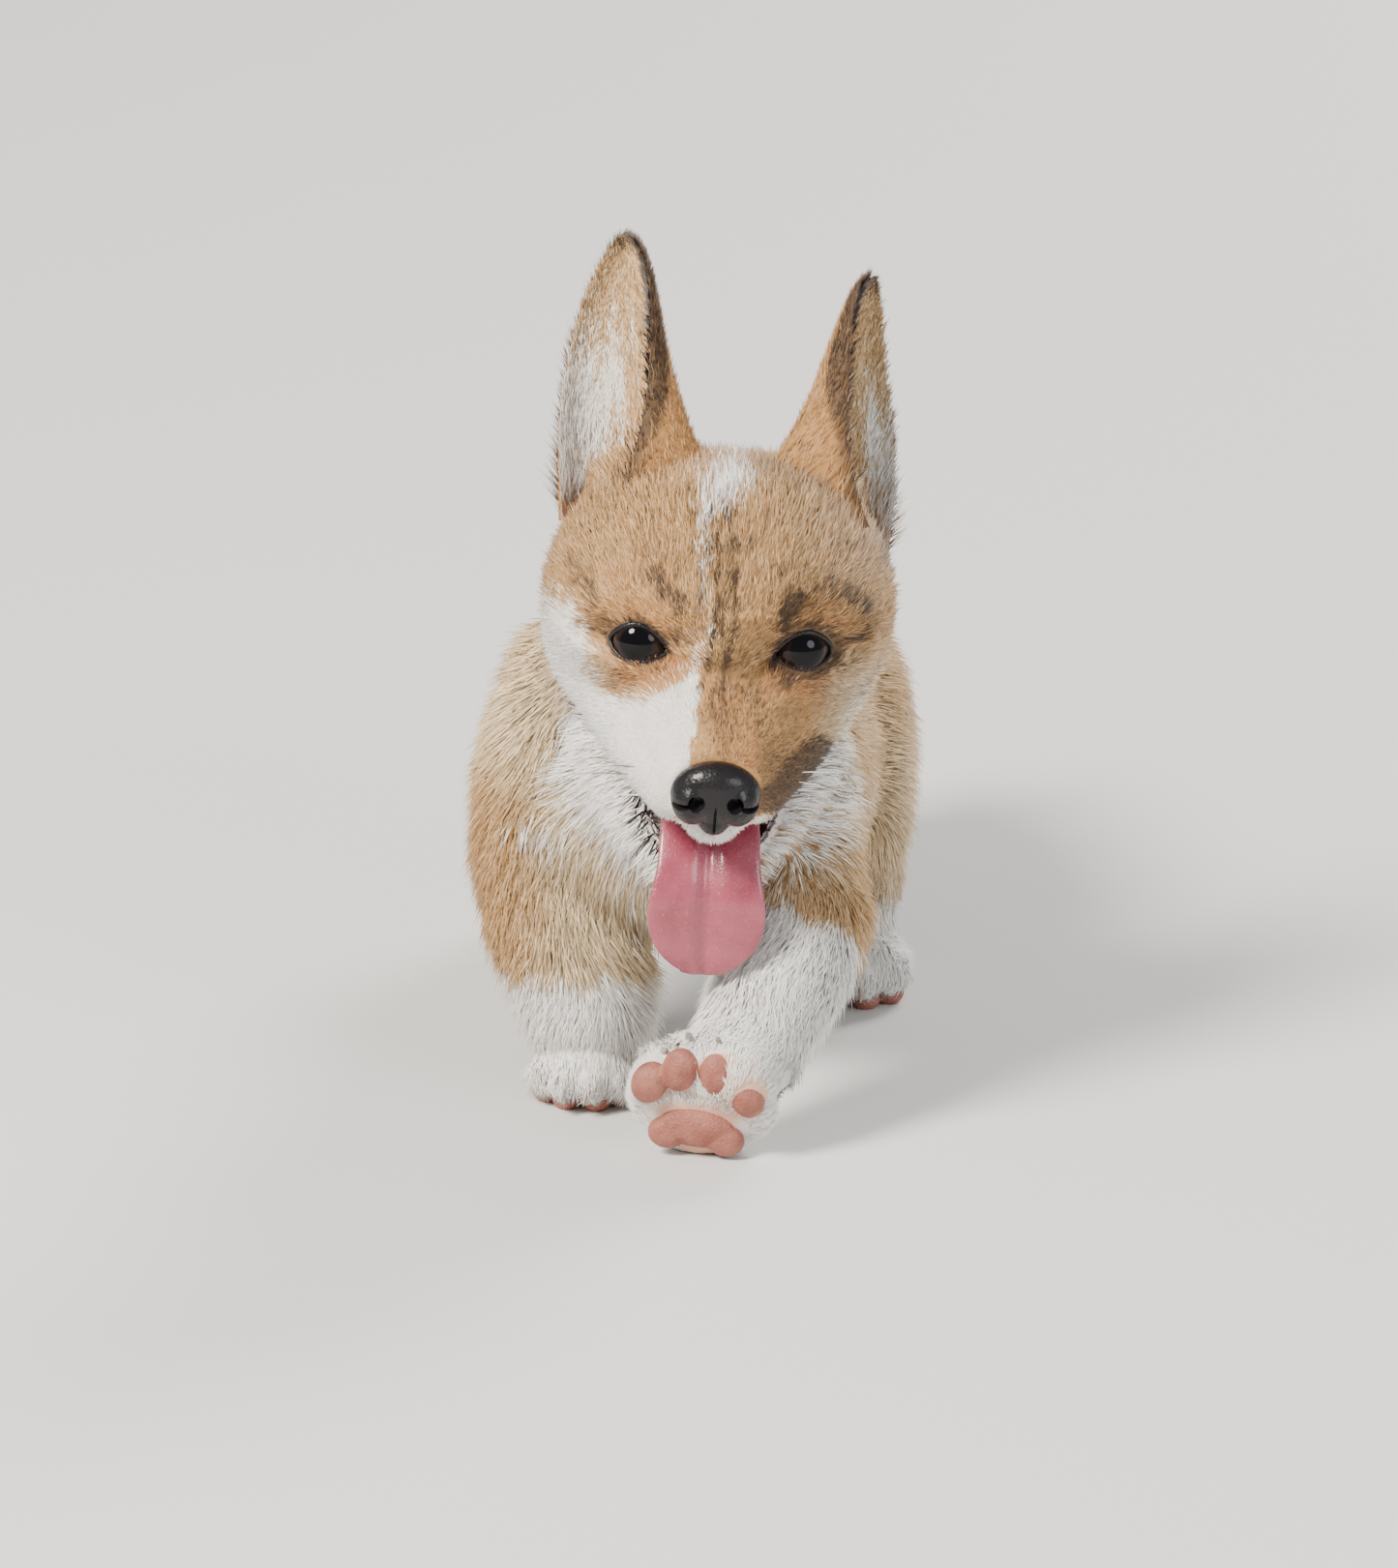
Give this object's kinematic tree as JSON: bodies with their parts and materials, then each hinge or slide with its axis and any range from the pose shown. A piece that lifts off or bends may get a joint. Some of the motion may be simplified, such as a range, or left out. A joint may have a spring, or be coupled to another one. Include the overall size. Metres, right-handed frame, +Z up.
{
  "type": "pembroke welsh corgi puppy",
  "caption": "Life-size still model of a Pembroke Welsh Corgi puppy running towards the viewer with its tongue out, resting on four paws.",
  "frame": {"origin": "middle of the footprint's bounding box, on the floor under the paws", "axes": "+Z up, +Y from the head to the tail, +X to the puppy's left, so the puppy faces -Y"},
  "size_m": [0.1316, 0.3054, 0.2526],
  "materials": {
    "tan_coat": "short matt fur, fawn and tan",
    "white_coat": "short matt fur, white",
    "cream_coat": "short matt fur, cream",
    "tongue_skin": "wet pink skin",
    "nose_leather": "wet black pebbled leather",
    "eye_cornea": "wet, near black"
  },
  "bodies": {
    "root": {"head": "tan_coat", "ear_left": "tan_coat", "ear_right": "tan_coat", "torso": "tan_coat", "tail": "tan_coat", "left_upper_arm": "tan_coat", "right_upper_arm": "tan_coat", "left_thigh": "tan_coat", "right_thigh": "tan_coat", "neck": "cream_coat", "jaw": "white_coat", "left_forearm": "white_coat", "right_forearm": "white_coat", "left_shank": "white_coat", "right_shank": "white_coat", "left_fore_paw": "white_coat", "right_fore_paw": "white_coat", "left_hind_paw": "white_coat", "right_hind_paw": "white_coat", "tongue": "tongue_skin", "nose": "nose_leather", "eye_left": "eye_cornea", "eye_right": "eye_cornea"}
  },
  "joints": []
}
